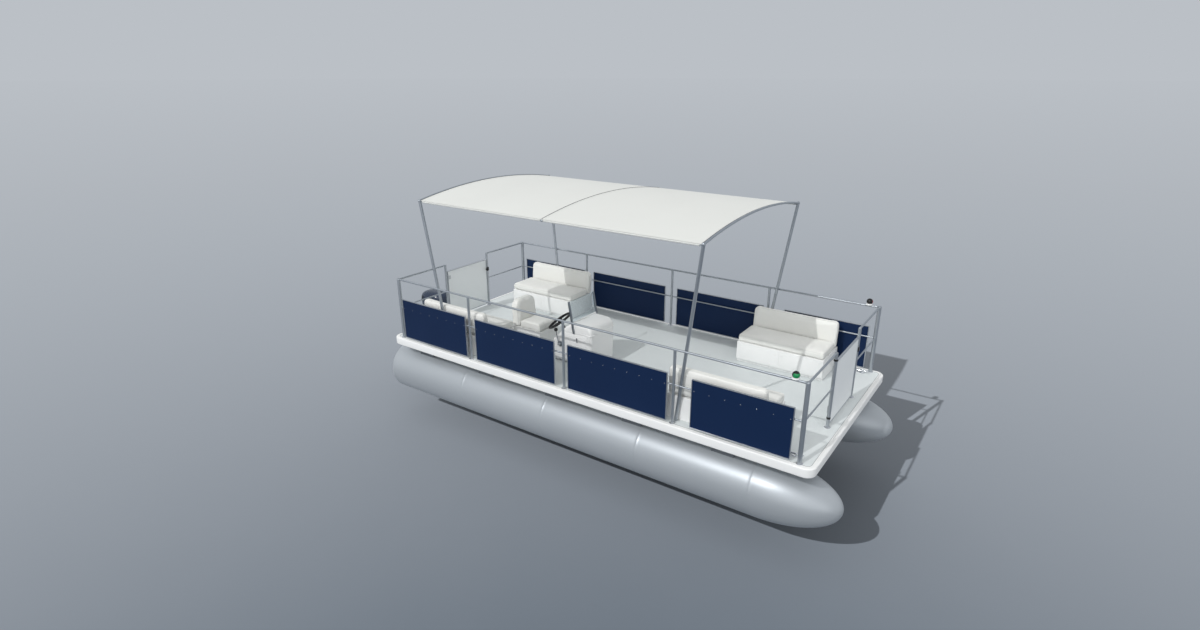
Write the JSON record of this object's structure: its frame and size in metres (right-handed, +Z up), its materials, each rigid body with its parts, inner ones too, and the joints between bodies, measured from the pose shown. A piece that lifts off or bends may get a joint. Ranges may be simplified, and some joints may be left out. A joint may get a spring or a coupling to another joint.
{
  "type": "pontoon boat",
  "caption": "Twin-log pontoon boat with a railed deck, side panels, swing gates, arched canopy, benches, helm and a tilting outboard motor.",
  "frame": {"origin": "on the ground, under the middle of the boat's whole length and width, between the two pontoons", "axes": "+X along the boat towards the bow, +Y to port, +Z up"},
  "size_m": [6.815, 2.58, 2.8914],
  "materials": {
    "brushed_aluminium": "brushed along the log, satin",
    "rail_aluminium": "anodised, satin",
    "frame_channel": "mill finish, dull",
    "deck_vinyl": "matt sheet vinyl",
    "white_gelcoat": "smooth gelcoat",
    "navy_panel": "satin painted sheet",
    "gate_sheet": "satin painted sheet",
    "canopy_cloth": "coated canvas",
    "seat_vinyl": "grained marine vinyl",
    "clear_sheet": "clear acrylic sheet",
    "black_plastic": "moulded, satin",
    "bright_fittings": "polished stainless steel",
    "cowl_paint": "gloss moulded cover",
    "motor_leg_paint": "satin painted casting",
    "engine_castings": "rough casting",
    "lamp_housing": "moulded, gloss"
  },
  "bodies": {
    "hull": {"bench_bow_port_back": "seat_vinyl", "bench_bow_port_base": "white_gelcoat", "bench_bow_port_cushion": "seat_vinyl", "bench_bow_starboard_back": "seat_vinyl", "bench_bow_starboard_base": "white_gelcoat", "bench_bow_starboard_cushion": "seat_vinyl", "bench_stern_port_back": "seat_vinyl", "bench_stern_port_base": "white_gelcoat", "bench_stern_port_cushion": "seat_vinyl", "bench_stern_starboard_back": "seat_vinyl", "bench_stern_starboard_base": "white_gelcoat", "bench_stern_starboard_cushion": "seat_vinyl", "canopy_cloth": "canopy_cloth", "canopy_frame_middle": "rail_aluminium", "canopy_hoop_bow": "rail_aluminium", "canopy_hoop_stern": "rail_aluminium", "clamp_bracket": "motor_leg_paint", "cleat_bow_port": "bright_fittings", "cleat_bow_starboard": "bright_fittings", "cleat_stern_port": "bright_fittings", "cleat_stern_starboard": "bright_fittings", "console": "white_gelcoat", "deck": "deck_vinyl", "deck_edge": "white_gelcoat", "helm_seat_back": "seat_vinyl", "helm_seat_base": "white_gelcoat", "helm_seat_cushion": "seat_vinyl", "motor_pod": "brushed_aluminium", "nav_lamp_port": "lamp_housing", "nav_lamp_starboard": "lamp_housing", "panel_port_1": "navy_panel", "panel_port_2": "navy_panel", "panel_port_3": "navy_panel", "panel_port_4": "navy_panel", "panel_starboard_1": "navy_panel", "panel_starboard_2": "navy_panel", "panel_starboard_3": "navy_panel", "panel_starboard_4": "navy_panel", "pontoon_port": "brushed_aluminium", "pontoon_starboard": "brushed_aluminium", "rail_bow_port": "rail_aluminium", "rail_bow_starboard": "rail_aluminium", "rail_port": "rail_aluminium", "rail_starboard": "rail_aluminium", "rail_stern_port": "rail_aluminium", "rail_stern_starboard": "rail_aluminium", "throttle_lever": "black_plastic", "under_frame": "frame_channel", "windscreen": "clear_sheet", "windscreen_frame": "rail_aluminium"},
    "bow_gate": {"gate_bow": "gate_sheet"},
    "stern_gate": {"gate_stern": "gate_sheet"},
    "tilt": {"swivel_bracket": "motor_leg_paint"},
    "motor": {"motor_leg": "motor_leg_paint", "motor_cowl": "cowl_paint", "motor_powerhead": "engine_castings"},
    "propeller_body": {"propeller": "bright_fittings"},
    "wheel": {"steering_wheel": "black_plastic"}
  },
  "joints": [
    {"name": "bow_gate_hinge", "type": "hinge", "parent": "hull", "child": "bow_gate", "pos_m": [3.002, -0.39, 1.21], "axis": [0, 0, 1], "range_deg": [0, 90]},
    {"name": "stern_gate_hinge", "type": "hinge", "parent": "hull", "child": "stern_gate", "pos_m": [-2.407, -0.39, 1.21], "axis": [0, 0, -1], "range_deg": [0, 90]},
    {"name": "motor_tilt", "type": "hinge", "parent": "hull", "child": "tilt", "pos_m": [-2.9025, 0, 0.7814], "axis": [0, 1, 0], "range_deg": [0, 62]},
    {"name": "motor_steer", "type": "hinge", "parent": "tilt", "child": "motor", "pos_m": [-2.9675, 0, 0.6], "axis": [0, 0, 1], "range_deg": [-35, 35]},
    {"name": "propeller_spin", "type": "hinge", "parent": "motor", "child": "propeller_body", "pos_m": [-3.3025, 0, 0.2334], "axis": [1, 0, 0], "continuous": true},
    {"name": "wheel_turn", "type": "hinge", "parent": "hull", "child": "wheel", "pos_m": [-0.3925, -0.41, 1.28], "axis": [-0.7071, 0, 0.7071], "range_deg": [-525, 525]}
  ],
  "couplings": [
    {"joint": "wheel_turn", "follows": "motor_steer", "ratio": -15}
  ]
}
